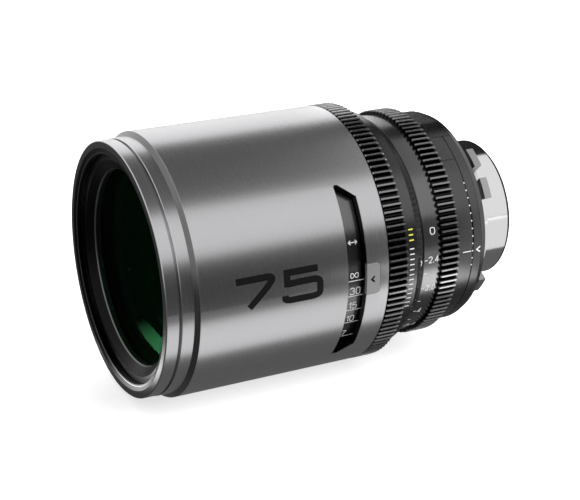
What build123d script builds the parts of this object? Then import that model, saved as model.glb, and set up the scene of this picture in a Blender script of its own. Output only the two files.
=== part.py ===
from build123d import *

import os
from math import asin, atan2, cos, degrees, hypot, pi, radians, sin, tan

# Cinema prime lens with a four-tab camera mount, in millimetres.
# The optical axis is Y. The front looks along -Y, the mount along +Y, and Z is up.
# The origin is on the axis, in the plane of the mount's seat.
# Angles go round the axis from +X, the side of the scales, towards +Z.

# Clearances and small sizes that many pieces share
running_gap = 0.05      # radial gap of a part that turns or slides
seat_gap = 0.05         # radial gap of a fixed part in its seat
ring_gap = 0.25         # axial gap between a turning ring and its neighbour
face_gap = 0.1          # axial gap between stacked inner parts
edge = 0.35             # chamfer of an outer edge
overrun = 0.5           # how far a cutter passes a face

# Camera mount. Its radius sets the radii of everything round it, through walls and steps.
mount_radius = 27.0
mount_wall = 3.55
mount_length = 13.3
mount_edge = 0.6
neck_reach = 4.0        # from the mount's barrel out to the edge of its neck
neck_length = 2.8
tab_reach = 9.2         # from the mount's barrel out to the tabs' edge
tab_thickness = 3.0
tab_count = 4
tab_width_angle = 34.0
tab_angle = 43.0        # middle of the first tab
notch_width = 5.1
notch_depth = 5.0
shim_thickness = 0.3
base_thickness = 1.7
base_spigot = 2.2
base_step = 0.3         # from the rear body's radius out to the base's
screw_count = 6
screw_radius = 1.0
screw_head_radius = 1.65
screw_head_height = 1.1
screw_sink = 0.15       # how far a screw head lies under its face
screw_bite = 1.2        # thread left under the base's front face
socket_share = 0.75     # a screw's socket, as a share of its shank's radius

# Fixed rear body and rear ring
rear_bore_step = 5.0    # from the mount's neck out to the rear body's bore
rear_body_wall = 2.5
rear_body_flange = 2.0
rear_ring_wall = 3.2
rear_ring_length = 3.6
rear_lip_length = 2.1
rear_lip_step = 1.1
rear_line_width = 0.25
rear_line_depth = 0.5

# Back-focus ring, its fixed top cover and the rear group that it moves
back_ring_length = 7.15
back_ring_turn = 40.0
back_travel = 0.5
cover_start = 65.5
cover_end = 114.5
cover_thickness = 1.35
cover_flat_depth = 0.85
cover_end_gap = 0.3     # degrees between the cover and the ring's shoulder
back_line_angle = 49.5
back_line_width = 0.25
back_line_depth = 0.2
rear_roller_radius = 1.2
rear_roller_length = 6.5
rear_roller_setback = 2.3   # from the front of the back-focus ring to the rollers
rear_cam_share = 0.75   # depth of the ring's slots, as a share of the wall under the cover
rear_cell_wall = 2.4
rear_cell_clearance = 4.6   # from the iris to the rear cell
rear_flange_thickness = 3.2
rear_doublet_thickness = 7.5
rear_element_thickness = 6.0
rear_glass_bulge = 1.0
rear_recess = 3.0       # from the end of the rear cell to its glass edge

# Iris rings and the iris inside them
iris_seat_step = 1.5    # from the rear body's radius out to the iris ring's seat
iris_seat_wall = 2.5
iris_spigot_wall = 1.6
iris_scale_step = 1.1   # from the gear's spigot out to the aperture scale
iris_scale_length = 7.3
iris_gear_step = 1.7    # from the aperture scale out to the gear's tips
iris_gear_length = 7.7
iris_turn = 105.0
iris_open_depth = 17.5  # from the iris bore in to the opening
iris_closed_radius = 3.0
iris_base_thickness = 1.5
blade_count = 12
blade_thickness = 0.1
blade_pitch = 0.22
blade_width = 7.5
blade_span = 104.0      # degrees of arc from a blade's post to its tip
blade_root = 5.0        # degrees of arc behind the post
blade_ear = 2.0
post_margin = 2.0       # from the open blade's outer edge to the posts' circle
post_radius = 0.6
lever_share = 0.655     # length of a blade's lever, as a share of the posts' spacing
lever_pin_radius = 0.4
lever_width = 2.2
rotor_thickness = 2.4
rotor_slot_gap = 0.06
rotor_slot_steps = 12   # an even number, because each arc of a slot takes two
iris_cover_thickness = 1.0
key_radius = 0.9
key_angle = 200.0
key_bite = 1.6          # how far the key reaches into the scale ring and the rotor

# Fixed tube and the collar round its rear end
tube_step = 1.5         # from the iris ring's seat out to the tube's radius
tube_wall = 2.0
tube_setback = 0.5      # from the barrel's chamfer to the front end of the tube
tube_flange_gap = 1.0   # from the tube's flange out to the barrel's bore
tube_flange_length = 2.5
collar_step = 0.2       # from the distance scale's radius in to the collar's
collar_length = 5.5
collar_cone_length = 4.3

# Focus ring and what it drives
gear_module = 0.8
pressure_angle = 20.0
dedendum_share = 1.25   # depth of a tooth under the pitch circle, as a share of the module
tooth_edge = 0.35
focus_gear_length = 8.0
focus_turn = 268.0
focus_travel = 13.4
scale_wall = 2.5
scale_margin = 5.75     # from the window to the front end of the distance scale
cam_wall = 2.1
cam_margin = 9.55       # from the front end of a cam slot to the front of the sleeve
cam_step = 12.0         # degrees between the sections of a cam slot
slot_relief = 0.05      # radius that the hole at a slot's end has over the slot
roller_count = 3
roller_radius = 1.5
roller_pin_radius = 1.2
roller_pin_bite = 2.6
roller_angle = 255.0
drive_screw_radius = 1.2
drive_screw_setback = 4.0
stop_ring_wall = 4.0
stop_ring_length = 2.7
stop_pin_radius = 0.9
stop_pin_bite = 2.5
stop_groove_depth = 2.0

# Barrel, distance window and index plate
scale_gap = 0.8         # from the distance scale out to the barrel's bore
barrel_wall = 2.5
barrel_chamfer_length = 1.5
barrel_flange_length = 2.5
barrel_screw_head = 1.5
window_setback = 9.3    # from the barrel's rear edge to the window
window_width = 7.7
window_half_angle = 41.8
window_corner_angle = 5.8
window_corner_length = 6.0
window_round = 0.8
plate_length = 5.4
plate_half_width = 5.9
plate_corner = 1.6
plate_thickness = 1.45
plate_gap = 0.1

# Front rings
front_step = 2.0        # from the barrel's radius in to the front ring's
bezel_step = 1.8        # from the barrel's radius in to the bezel's
bezel_length = 4.6
front_ring_length = 4.9
front_ring_wall = 5.0
front_groove_width = 0.8
front_groove_depth = 1.2
front_face_width = 2.8  # flat face between the front ring's edge and the thread's lead-in
front_spigot_step = 2.5
spigot_end_gap = 0.2
thread_length = 1.7
thread_lead_length = 0.8
thread_relief = 0.7
retainer_ledge_setback = 2.8
retainer_ledge_width = 2.5
retainer_cone_setback = 5.6
retainer_cone_step = 0.25
retainer_bead = 0.3
retainer_lip = 0.95     # how far the front retainer reaches over its glass

# Glass and its cells
cell_wall = 2.0
glass_lip = 1.6         # how far a ledge or a ring reaches over a glass
lip_length = 1.5
retainer_length = 1.4
glass_flat = 1.8        # flat rim of a glass, under its lip or ring
front_glass_setback = 8.1
front_glass_edge = 6.4
front_glass_bulge = 3.0
front_flange_step = 0.3 # from the fixed tube's radius out to the front cell's flange
front_cell_clearance = 4.7  # from the focus cell, at the end of its travel, to the front cell
front_cell_end = 3.9    # what the front cell has behind its last ring
cylinder_thickness = 6.0
cylinder_spacing = 5.0
cylinder_bulge = 2.5
focus_cell_clearance = 3.0  # from the prime cell to the focus cell at rest
focus_cell_wall = 6.45
focus_cell_web = 4.8    # between the seats of the focus cell's two glasses
focus_glass_thickness = 7.0
focus_glass_bulge = 2.2
prime_cell_wall = 9.45
prime_cell_web = 6.2
prime_step = 4.0        # from the first prime glass in to the second
prime_glass_thickness = 7.0
prime_glass_bulge = 1.8

# Radii, from the mount outwards
mount_bore = mount_radius - mount_wall
rear_cell_radius = mount_bore - running_gap
neck_radius = mount_radius + neck_reach
tab_radius = mount_radius + tab_reach
screw_circle = (mount_radius + neck_radius) / 2
rear_bore = neck_radius + rear_bore_step
rear_seat_radius = rear_bore + rear_body_wall
rear_radius = rear_seat_radius + rear_ring_wall
rear_lip_radius = rear_radius - rear_lip_step
base_radius = rear_seat_radius + base_step
cover_radius = rear_radius
cover_bore = cover_radius - cover_thickness
cover_flat_height = cover_radius - cover_flat_depth
recess_radius = cover_bore - ring_gap / 2
iris_seat_radius = rear_seat_radius + iris_seat_step
iris_bore = iris_seat_radius - iris_seat_wall
iris_spigot_radius = iris_seat_radius + iris_spigot_wall
iris_scale_radius = iris_spigot_radius + iris_scale_step
iris_open_radius = iris_bore - iris_open_depth
tube_radius = iris_seat_radius + tube_step
tube_bore = tube_radius - tube_wall
cam_bore = tube_radius + running_gap
cam_radius = cam_bore + cam_wall
scale_bore = cam_radius + seat_gap
scale_radius = scale_bore + scale_wall
collar_radius = scale_radius - collar_step
stop_ring_radius = tube_radius + stop_ring_wall
barrel_bore = scale_radius + scale_gap
barrel_radius = barrel_bore + barrel_wall
tube_flange_radius = barrel_bore - tube_flange_gap
bezel_radius = barrel_radius - bezel_step
front_radius = barrel_radius - front_step
front_spigot_radius = front_radius - front_spigot_step
thread_bore = front_radius - front_ring_wall
thread_lead_radius = front_radius - front_face_width
cell_radius = tube_bore - running_gap
cell_bore = cell_radius - cell_wall
front_glass_radius = cell_bore - seat_gap
front_flange_radius = tube_radius + front_flange_step
barrel_flange_bore = front_flange_radius + face_gap
barrel_screw_circle = (barrel_flange_bore + tube_flange_radius) / 2
retainer_bore = front_glass_radius - retainer_lip
retainer_cone_radius = retainer_bore + retainer_cone_step
retainer_ledge_radius = thread_bore - retainer_ledge_width
focus_glass_radius = cell_radius - focus_cell_wall
prime_front_radius = cell_radius - prime_cell_wall
prime_rear_radius = prime_front_radius - prime_step
prime_nose_radius = iris_bore - face_gap

# Teeth, as many as fit inside the radius that a gear's tips come to
focus_teeth = round(2 * barrel_radius / gear_module) - 2
iris_teeth = round(2 * (iris_scale_radius + iris_gear_step) / gear_module) - 2

# Stations along the axis, from the mount's seat forwards to the barrel's rear edge
tab_front = -tab_thickness
shim_rear = tab_front - neck_length
base_rear = shim_rear - shim_thickness
base_front = base_rear - base_thickness
lip_front = base_front - rear_lip_length
rear_ring_front = lip_front - rear_ring_length
back_ring_rear = rear_ring_front - ring_gap
back_ring_front = back_ring_rear - back_ring_length
iris_gear_rear = back_ring_front - ring_gap
iris_gear_front = iris_gear_rear - iris_gear_length
iris_scale_front = iris_gear_front - iris_scale_length
collar_rear = iris_scale_front - ring_gap
cone_front = collar_rear - collar_cone_length
collar_front = cone_front - collar_length
focus_rear = collar_front - ring_gap
focus_gear_front = focus_rear - focus_gear_length
barrel_rear = focus_gear_front - ring_gap
window_rear = barrel_rear - window_setback
window_front = window_rear - window_width
scale_front = window_front - scale_margin
tube_rear = collar_rear - rear_body_flange

# The iris stack, from its base plate rearwards
iris_base_front = iris_scale_front + face_gap
iris_base_rear = iris_base_front + iris_base_thickness
blades_front = iris_base_rear + face_gap
rotor_front = blades_front + blade_count * blade_pitch + face_gap
rotor_rear = rotor_front + rotor_thickness
iris_cover_front = rotor_rear + face_gap
iris_cover_rear = iris_cover_front + iris_cover_thickness
key_y = (rotor_front + rotor_rear) / 2
post_circle = iris_open_radius + blade_width + post_margin
blade_step = 360 / blade_count
blade_turn = 2 * degrees(asin((iris_open_radius - iris_closed_radius) / (2 * post_circle)))
lever_length = lever_share * 2 * post_circle * sin(radians(blade_step / 2))
lever_angle = 2 * degrees(asin(lever_length / (2 * post_circle)))

# The cells of the glass, from the iris forwards. The last one sets where the front of the lens lies.
seat_depth = retainer_length + 2 * face_gap
prime_cell_rear = tube_rear - face_gap
prime_rear_seat = iris_base_front - face_gap / 2 - seat_depth - prime_glass_thickness
prime_front_seat = prime_rear_seat - prime_cell_web
prime_cell_front = prime_front_seat - prime_glass_thickness - seat_depth
focus_cell_rear = prime_cell_front - focus_cell_clearance
focus_rear_seat = focus_cell_rear - seat_depth - focus_glass_thickness
focus_front_seat = focus_rear_seat - focus_cell_web
focus_cell_front = focus_front_seat - focus_glass_thickness - seat_depth
front_cell_rear = focus_cell_front - focus_travel - front_cell_clearance
cylinder_end = front_cell_rear - front_cell_end - retainer_length
front_ledge = cylinder_end - 2 * cylinder_thickness - cylinder_spacing - lip_length
front_cell_front = front_ledge - front_glass_edge
front_glass_rim = front_cell_front - face_gap
front_face = front_glass_rim - front_glass_setback
front_ring_rear = front_face + front_ring_length
bezel_front = front_ring_rear + front_groove_width
bezel_rear = bezel_front + bezel_length
barrel_start = bezel_rear + barrel_chamfer_length

# The focus rollers and the sleeve that moves them, at rest
roller_y = (focus_cell_front + focus_cell_rear) / 2
cam_front = roller_y - focus_travel - cam_margin
roller_step = 360 / roller_count

# The rear group, at rest
rear_cell_rear = mount_length - rear_recess / 2 - back_travel
rear_cell_front = iris_cover_rear + rear_cell_clearance
rear_roller_y = back_ring_front + rear_roller_setback
rear_flange_front = rear_roller_y - rear_flange_thickness / 2


def polar(radius, angle):
    """The two coordinates across the axis, X and Z, of a radius and an angle."""
    return radius * cos(radians(angle)), radius * sin(radians(angle))


def cap_screw(angle, circle, top, tip, head_radius):
    """A cap screw along the axis, from the top of its head to its tip, with a six-sided socket."""
    side = 1 if tip > top else -1
    under_head = top + side * screw_head_height
    screw = axial_pin(angle, circle, min(top, under_head), max(top, under_head), head_radius)
    screw += axial_pin(angle, circle, min(top, tip), max(top, tip), screw_radius)
    socket_ends = top - side * overrun, top + side * screw_head_height / 2
    socket = Pos(*polar(circle, angle)) * RegularPolygon(screw_radius * socket_share, side_count=6)
    return screw - flat_piece(socket, min(socket_ends), max(socket_ends))


def turned(*outline):
    """A solid turned about the optical axis from (radius, y) points."""
    return revolve(make_face(Polyline(*outline, close=True)), Axis.Y)


def tube(inner, outer, front, rear):
    """A plain ring about the optical axis."""
    return turned((inner, front), (outer, front), (outer, rear), (inner, rear))


def sector(inner, outer, front, rear, start, end):
    """A piece of a ring, from one angle to a larger one."""
    section = make_face(Polyline((inner, front), (outer, front), (outer, rear), (inner, rear), close=True))
    return Rot(0, -end, 0) * revolve(section, Axis.Y, revolution_arc=end - start)


def facing_out(angle, radius, y):
    """A plane that faces outwards, with its x along +Y and its y towards larger angles."""
    x, z = polar(radius, angle)
    across, up = polar(1, angle)
    return Plane(origin=(x, y, z), x_dir=(0, 1, 0), z_dir=(across, 0, up))


def radial_pin(angle, y, inner, outer, radius):
    """A round pin that points away from the axis."""
    pin = Cylinder(radius, outer - inner, align=(Align.CENTER, Align.CENTER, Align.MIN))
    return facing_out(angle, inner, y) * pin


def radial_slot(angle, front, rear, inner, outer, width):
    """A cutter for a slot along the axis, between two round ends."""
    outline = SlotCenterToCenter(rear - front, width)
    return extrude(facing_out(angle, inner, (front + rear) / 2) * outline, amount=outer - inner)


def axial_pin(angle, circle, front, rear, radius):
    """A round pin along the axis."""
    x, z = polar(circle, angle)
    outline = Pos(x, z) * Circle(radius)
    return flat_piece(outline, front, rear)


def flat_piece(outline, front, rear):
    """A flat piece across the axis, from an outline drawn in X and Z."""
    across = Plane(origin=(0, rear, 0), x_dir=(1, 0, 0), z_dir=(0, -1, 0))
    return extrude(across * outline, amount=rear - front)


def ring_outline(inner, outer, start, end):
    """A flat piece of a ring, drawn in X and Z."""
    middle = (start + end) / 2
    return make_face([
        ThreePointArc(polar(inner, start), polar(inner, middle), polar(inner, end)),
        Line(polar(inner, end), polar(outer, end)),
        ThreePointArc(polar(outer, end), polar(outer, middle), polar(outer, start)),
        Line(polar(outer, start), polar(inner, start)),
    ])


def section_plane(angle, radius, y):
    """A plane through the axis, with its x outwards and its y along +Y."""
    x, z = polar(radius, angle)
    across, up = polar(1, angle)
    return Plane(origin=(x, y, z), x_dir=(across, 0, up), z_dir=(-up, 0, across))


def cut_cam_slot(body, inner, outer, width, start, end, front_start, front_end):
    """Cuts a slot that climbs steadily round a sleeve, with a relief hole at both ends."""
    steps = max(2, round(abs(end - start) / cam_step))
    sections = []
    for step in range(steps + 1):
        share = step / steps
        angle = start + (end - start) * share
        y = front_start + (front_end - front_start) * share
        sections.append(section_plane(angle, (inner + outer) / 2, y) * Rectangle(outer - inner, width))
    body -= loft(sections)
    for angle, y in ((start, front_start), (end, front_end)):
        body -= radial_pin(angle, y, inner - overrun, outer, width / 2 + slot_relief)
    return body


def gear_radii(teeth):
    """Pitch, tip and root radius of a gear."""
    pitch = teeth * gear_module / 2
    return pitch, pitch + gear_module, pitch - dedendum_share * gear_module


def gear_ring(teeth, bore, front, rear):
    """A toothed ring, with straight flanks and the tips' edges broken at both faces."""
    pitch, tip, root = gear_radii(teeth)
    slope = tan(radians(pressure_angle))
    points = []
    for tooth in range(teeth):
        middle = 360 * tooth / teeth
        for radius, side in ((root, -1), (tip, -1), (tip, 1), (root, 1)):
            half = degrees((pi * gear_module / 4 - (radius - pitch) * slope) / radius)
            points.append(polar(radius, middle + side * half))
    toothed = flat_piece(make_face(Polyline(*points, close=True)), front, rear)
    blank = turned(
        (bore, front), (tip - tooth_edge, front), (tip + overrun, front + tooth_edge + overrun),
        (tip + overrun, rear - tooth_edge - overrun), (tip - tooth_edge, rear), (bore, rear),
    )
    return toothed & blank


def arc_point(radius, bulge):
    """How far a glass face has risen above its rim, at half its radius."""
    sphere = (radius * radius + bulge * bulge) / (2 * bulge)
    return (sphere * sphere - radius * radius / 4) ** 0.5 - (sphere - bulge)


def glass_face(clear, y, rise):
    """Half the outline of a glass face: an arc from the axis to its flat rim. A flat face has no rise."""
    if rise == 0:
        return Line((0, y), (clear, y))
    side = 1 if rise > 0 else -1
    half = y + side * arc_point(clear, abs(rise))
    return ThreePointArc((0, y + rise), (clear / 2, half), (clear, y))


def glass(radius, front, rear, front_bulge, rear_bulge, flat):
    """A round glass with a flat rim. A bulge above zero stands out, and one under zero is hollow."""
    clear = radius - flat
    rim = Polyline((clear, front), (radius, front), (radius, rear), (clear, rear))
    axis = Line((0, front - front_bulge), (0, rear + rear_bulge))
    outline = [glass_face(clear, front, -front_bulge), rim, glass_face(clear, rear, rear_bulge), axis]
    return revolve(make_face(outline), Axis.Y)


def cylinder_cap(radius, y, bulge):
    """The part of a cylinder glass that stands proud of a flat face, curved across X only."""
    edges = [Line((-radius, y), (radius, y)), ThreePointArc((radius, y), (0, y + bulge), (-radius, y))]
    return extrude(make_face(edges), amount=radius, both=True) & disc(radius, y - abs(bulge), y + abs(bulge))


def disc(radius, front, rear):
    """A plain disc about the optical axis."""
    return turned((0, front), (radius, front), (radius, rear), (0, rear))


def front_ring():
    """Front ring with the filter thread's bore, a neck behind it and a spigot."""
    neck = front_radius - front_groove_depth
    lead_end = front_face + thread_lead_length
    bore_end = lead_end + thread_length
    spigot_end = bezel_rear - spigot_end_gap
    relief = thread_bore + thread_relief
    return turned(
        (thread_lead_radius, front_face), (front_radius - edge, front_face),
        (front_radius, front_face + edge), (front_radius, front_ring_rear - edge / 2),
        (front_radius - edge / 2, front_ring_rear), (neck, front_ring_rear),
        (neck, bezel_front), (front_spigot_radius, bezel_front), (front_spigot_radius, spigot_end),
        (relief, spigot_end), (relief, bore_end), (thread_bore, bore_end), (thread_bore, lead_end),
    )


def front_bezel():
    """Ring clamped between the front ring and the barrel."""
    bore = front_spigot_radius + seat_gap
    return turned(
        (bore, bezel_front), (bezel_radius - edge / 2, bezel_front), (bezel_radius, bezel_front + edge / 2),
        (bezel_radius, bezel_rear), (bore, bezel_rear),
    )


def front_retainer():
    """Stepped black ring that holds the front glass and ends in a thin bead."""
    outer = thread_bore + thread_relief - face_gap
    ledge = front_face + retainer_ledge_setback
    shoulder = ledge + lip_length / 3
    cone = front_face + retainer_cone_setback
    rear = front_glass_rim - face_gap
    return turned(
        (thread_bore - face_gap, ledge), (outer, shoulder + face_gap), (outer, rear),
        (retainer_bore + retainer_bead, rear),
        (retainer_bore, cone + retainer_bead), (retainer_cone_radius, cone),
        (retainer_ledge_radius - retainer_bead, shoulder), (retainer_ledge_radius, ledge),
    )


def window_cutter():
    """The distance window: a band round the barrel with two of its four corners cut off."""
    inner = barrel_bore - overrun
    outer = barrel_radius + overrun
    straight = window_half_angle - window_corner_angle
    cutter = sector(inner, outer, window_front, window_rear, -straight, straight)
    for side in (-1, 1):
        angle = side * (straight + window_half_angle) / 2
        reach = barrel_radius * radians(window_corner_angle) / 2
        near = -side * (reach + window_round / 2)
        far = side * reach
        corner_start = window_width - window_corner_length
        corner = make_face(Polyline((0, near), (0, far), (corner_start, far), (window_width, near), close=True))
        far_corners = corner.vertices().filter_by(lambda v: abs(v.Y - far) < face_gap)
        corner = fillet(far_corners, window_round)
        cutter += extrude(facing_out(angle, inner, window_front) * corner, amount=outer - inner)
    return cutter


def plate_outline(gap):
    """The index plate's outline: square at the window, rounded behind, with a gap all round."""
    front = -(gap + window_round)
    rear = plate_length + gap
    half = plate_half_width + gap
    outline = make_face(Polyline((front, -half), (rear, -half), (rear, half), (front, half), close=True))
    corners = outline.vertices().filter_by(lambda v: v.X > 0)
    return fillet(corners, plate_corner + gap)


def index_plate():
    """D-shaped plate with the focus index, flush with the barrel."""
    inner = barrel_radius - plate_thickness
    blank = extrude(
        facing_out(0, inner - overrun, window_rear) * plate_outline(0), amount=plate_thickness + 2 * overrun)
    return blank & tube(inner, barrel_radius, window_rear, barrel_rear)


def front_barrel():
    """Outer sleeve with the distance window, the plate's pocket and an inner flange at the front."""
    flange_rear = barrel_start + barrel_flange_length
    body = turned(
        (barrel_flange_bore, bezel_rear), (bezel_radius, bezel_rear), (barrel_radius, barrel_start),
        (barrel_radius, barrel_rear - edge), (barrel_radius - edge, barrel_rear), (barrel_bore, barrel_rear),
        (barrel_bore, flange_rear), (barrel_flange_bore, flange_rear),
    )
    body -= window_cutter()
    floor = barrel_radius - plate_thickness - plate_gap
    pocket = extrude(
        facing_out(0, floor - overrun, window_rear) * plate_outline(plate_gap),
        amount=plate_thickness + plate_gap + 2 * overrun)
    body -= pocket & tube(floor, barrel_radius + overrun, barrel_start, barrel_rear + overrun)
    head_floor = bezel_rear + screw_head_height + screw_sink + face_gap
    head_hole = barrel_screw_head + face_gap
    for number in range(screw_count):
        angle = number * 360 / screw_count
        body -= axial_pin(angle, barrel_screw_circle, bezel_rear - overrun, head_floor, head_hole)
        body -= axial_pin(
            angle, barrel_screw_circle, bezel_rear, flange_rear + overrun, screw_radius + face_gap)
    return body


def barrel_screws():
    """Six cap screws that hold the barrel on the fixed tube's flange."""
    top = bezel_rear + screw_sink
    tip = barrel_start + barrel_flange_length + tube_flange_length - face_gap
    return Compound([
        cap_screw(number * 360 / screw_count, barrel_screw_circle, top, tip, barrel_screw_head)
        for number in range(screw_count)])


def main_tube():
    """Fixed inner tube: a flange for the barrel and three straight slots for the focus rollers."""
    front = barrel_start + tube_setback
    flange_front = barrel_start + barrel_flange_length
    flange_rear = flange_front + tube_flange_length
    body = turned(
        (tube_bore, front), (tube_radius, front), (tube_radius, flange_front),
        (tube_flange_radius, flange_front), (tube_flange_radius, flange_rear), (tube_radius, flange_rear),
        (tube_radius, tube_rear), (tube_bore, tube_rear),
    )
    for number in range(roller_count):
        body -= radial_slot(
            roller_angle + number * roller_step, roller_y - focus_travel, roller_y,
            tube_bore - overrun, tube_radius + overrun, 2 * (roller_radius + running_gap))
    for number in range(screw_count):
        body -= axial_pin(
            number * 360 / screw_count, barrel_screw_circle, flange_front - overrun, flange_rear + overrun,
            screw_radius + running_gap)
    return body


def front_cell():
    """Black tube with a flange: the front glass goes in from the front, the cylinders from behind."""
    flange_rear = barrel_start + tube_setback - face_gap
    return turned(
        (cell_bore, front_cell_front), (front_flange_radius, front_cell_front),
        (front_flange_radius, flange_rear), (cell_radius, flange_rear), (cell_radius, front_cell_rear),
        (cell_bore, front_cell_rear), (cell_bore, front_ledge + lip_length),
        (cell_bore - glass_lip, front_ledge + lip_length), (cell_bore - glass_lip, front_ledge),
        (cell_bore, front_ledge),
    )


def front_element():
    """Front glass: bulging towards the scene and hollow behind."""
    rear = front_glass_rim + front_glass_edge
    return glass(
        front_glass_radius, front_glass_rim, rear, front_glass_bulge, -front_glass_bulge, retainer_lip)


def cylinder_stations():
    """The rims of the two cylinder glasses, the spacer between them and the ring behind them."""
    start = front_ledge + lip_length + face_gap / 2
    first_rear = start + cylinder_thickness
    second_front = first_rear + cylinder_spacing
    second_rear = second_front + cylinder_thickness
    return start, first_rear, second_front, second_rear


def cylinder_element_front():
    """First cylinder glass, hollow behind, which squeezes the picture sideways."""
    start, rear = cylinder_stations()[:2]
    clear = front_glass_radius - 2 * glass_lip
    return disc(front_glass_radius, start, rear) - cylinder_cap(clear, rear, -cylinder_bulge)


def cylinder_spacer():
    """Ring that keeps the two cylinder glasses apart."""
    front, rear = cylinder_stations()[1:3]
    inner = front_glass_radius - glass_lip
    return tube(inner, front_glass_radius, front + face_gap / 2, rear - face_gap / 2)


def cylinder_element_rear():
    """Second cylinder glass, bulging towards the first."""
    front, rear = cylinder_stations()[2:]
    clear = front_glass_radius - 2 * glass_lip
    return disc(front_glass_radius, front, rear) + cylinder_cap(clear, front, -cylinder_bulge)


def cylinder_retainer():
    """Ring that holds the cylinder glasses in the front cell."""
    front = cylinder_stations()[3] + face_gap / 2
    inner = front_glass_radius - glass_lip
    return tube(inner, front_glass_radius, front, front + retainer_length - face_gap)


def focus_stop_ring():
    """Fixed ring before the cam sleeve, with the groove that the stop pin runs in."""
    rear = cam_front - ring_gap
    front = rear - stop_ring_length
    body = tube(tube_radius + seat_gap, stop_ring_radius, front, rear)
    pin_angle = degrees((stop_pin_radius + running_gap) / (cam_bore + cam_wall / 2))
    middle = cam_bore + cam_wall / 2
    reach = stop_pin_radius + running_gap
    start = roller_angle - pin_angle
    end = start + focus_turn + 2 * pin_angle
    return body - sector(tube_radius, middle + reach, rear - stop_groove_depth, rear + overrun, start, end)


def rear_collar():
    """Black collar: a plain band, then a cone down to the iris ring."""
    bore = tube_radius + seat_gap
    return turned(
        (bore, collar_front), (collar_radius - edge, collar_front), (collar_radius, collar_front + edge),
        (collar_radius, cone_front), (iris_scale_radius, collar_rear), (bore, collar_rear),
    )


def prime_cell():
    """Black cell of the fixed glass before the iris. Its nose presses on the iris base."""
    first_bore = prime_front_radius + seat_gap
    second_bore = prime_rear_radius + seat_gap
    nose_rear = iris_base_front - face_gap / 2
    inner = prime_rear_radius - glass_lip
    return turned(
        (first_bore, prime_cell_front), (cell_radius, prime_cell_front), (cell_radius, prime_cell_rear),
        (prime_nose_radius, prime_cell_rear), (prime_nose_radius, nose_rear), (second_bore, nose_rear),
        (second_bore, prime_rear_seat), (inner, prime_rear_seat), (inner, prime_front_seat),
        (first_bore, prime_front_seat),
    )


def prime_element_front():
    """First fixed glass before the iris."""
    rear = prime_front_seat - face_gap
    return glass(prime_front_radius, rear - prime_glass_thickness, rear, prime_glass_bulge, 0, glass_flat)


def prime_element_rear():
    """Second fixed glass before the iris, hollow towards it."""
    front = prime_rear_seat + face_gap
    return glass(prime_rear_radius, front, front + prime_glass_thickness, 0, -prime_glass_bulge, glass_flat)


def prime_retainers():
    """The two rings that hold the glass of the prime cell."""
    front = prime_cell_front + face_gap
    rear = iris_base_front - face_gap
    return Compound([
        tube(prime_front_radius - glass_lip, prime_front_radius, front, prime_cell_front + retainer_length),
        tube(prime_rear_radius - glass_lip, prime_rear_radius, rear - retainer_length + 2 * face_gap, rear),
    ])


def rear_body():
    """Black body in the middle of the rear rings, with the slots of the iris key and the rear rollers."""
    body = turned(
        (iris_bore, tube_rear + face_gap), (tube_radius, tube_rear + face_gap), (tube_radius, collar_rear),
        (iris_seat_radius, collar_rear), (iris_seat_radius, back_ring_front - ring_gap / 2),
        (rear_seat_radius, back_ring_front - ring_gap / 2), (rear_seat_radius, base_front - face_gap),
        (rear_bore, base_front - face_gap), (rear_bore, iris_cover_rear + face_gap),
        (iris_bore, iris_cover_rear + face_gap),
    )
    reach = degrees((key_radius + face_gap) / iris_seat_radius)
    body -= sector(
        rear_bore - overrun, iris_seat_radius + overrun, key_y - key_radius - face_gap,
        key_y + key_radius + face_gap, key_angle - reach, key_angle + iris_turn + reach)
    for number in range(roller_count):
        body -= radial_slot(
            roller_angle + number * roller_step, rear_roller_y, rear_roller_y + back_travel,
            rear_bore - overrun, rear_seat_radius + overrun, 2 * (rear_roller_radius + running_gap))
    return body


def iris_base():
    """Plate before the blades, with one post for each blade."""
    body = tube(iris_open_radius, iris_bore - seat_gap, iris_base_front, iris_base_rear)
    for number in range(blade_count):
        body += axial_pin(
            number * blade_step, post_circle, iris_base_rear - iris_base_thickness / 2,
            rotor_front - face_gap, post_radius)
    return body


def turned_about(point, centre, angle):
    """A point of the X and Z plane after a turn about a centre, towards larger angles."""
    across, up = point[0] - centre[0], point[1] - centre[1]
    turn = radians(angle)
    return (
        centre[0] + across * cos(turn) - up * sin(turn),
        centre[1] + across * sin(turn) + up * cos(turn))


def lever_pin_place(ring_angle):
    """Where the first blade's lever pin stands when the iris ring has turned, seen from the ring."""
    post = polar(post_circle, 0)
    pin = polar(post_circle, -lever_angle)
    moved = turned_about(pin, post, ring_angle * blade_turn / iris_turn)
    return turned_about(moved, (0, 0), -ring_angle)


def blade_outline():
    """The first blade: a crescent round the opening, an ear on its post and a lever to its pin."""
    outer = iris_open_radius + blade_width
    tip_centre = polar((iris_open_radius + outer) / 2, blade_span)
    post = polar(post_circle, 0)
    pin = polar(post_circle, -lever_angle)
    outline = ring_outline(iris_open_radius, outer, -blade_root, blade_span)
    outline += Pos(*tip_centre) * Circle(blade_width / 2)
    ear_half = degrees(blade_ear / post_circle)
    outline += ring_outline(outer - blade_ear, post_circle, -ear_half, ear_half)
    outline += Pos(*post) * Circle(blade_ear)
    outline += Pos(*pin) * Circle(lever_width / 2)
    tilt = degrees(atan2(post[1] - pin[1], post[0] - pin[0]))
    middle = ((post[0] + pin[0]) / 2, (post[1] + pin[1]) / 2)
    outline += Pos(*middle) * Rot(0, 0, tilt) * Rectangle(lever_length, lever_width)
    return outline - Pos(*post) * Circle(post_radius + running_gap)


def iris_blade(number):
    """One thin blade on its own level, with a pin that reaches back into the rotor."""
    front = blades_front + number * blade_pitch
    rear = front + blade_thickness
    blade = flat_piece(blade_outline(), front, rear)
    pin_end = rotor_rear - face_gap
    blade += axial_pin(-lever_angle, post_circle, front, pin_end, lever_pin_radius)
    return Rot(0, -number * blade_step, 0) * blade


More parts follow.
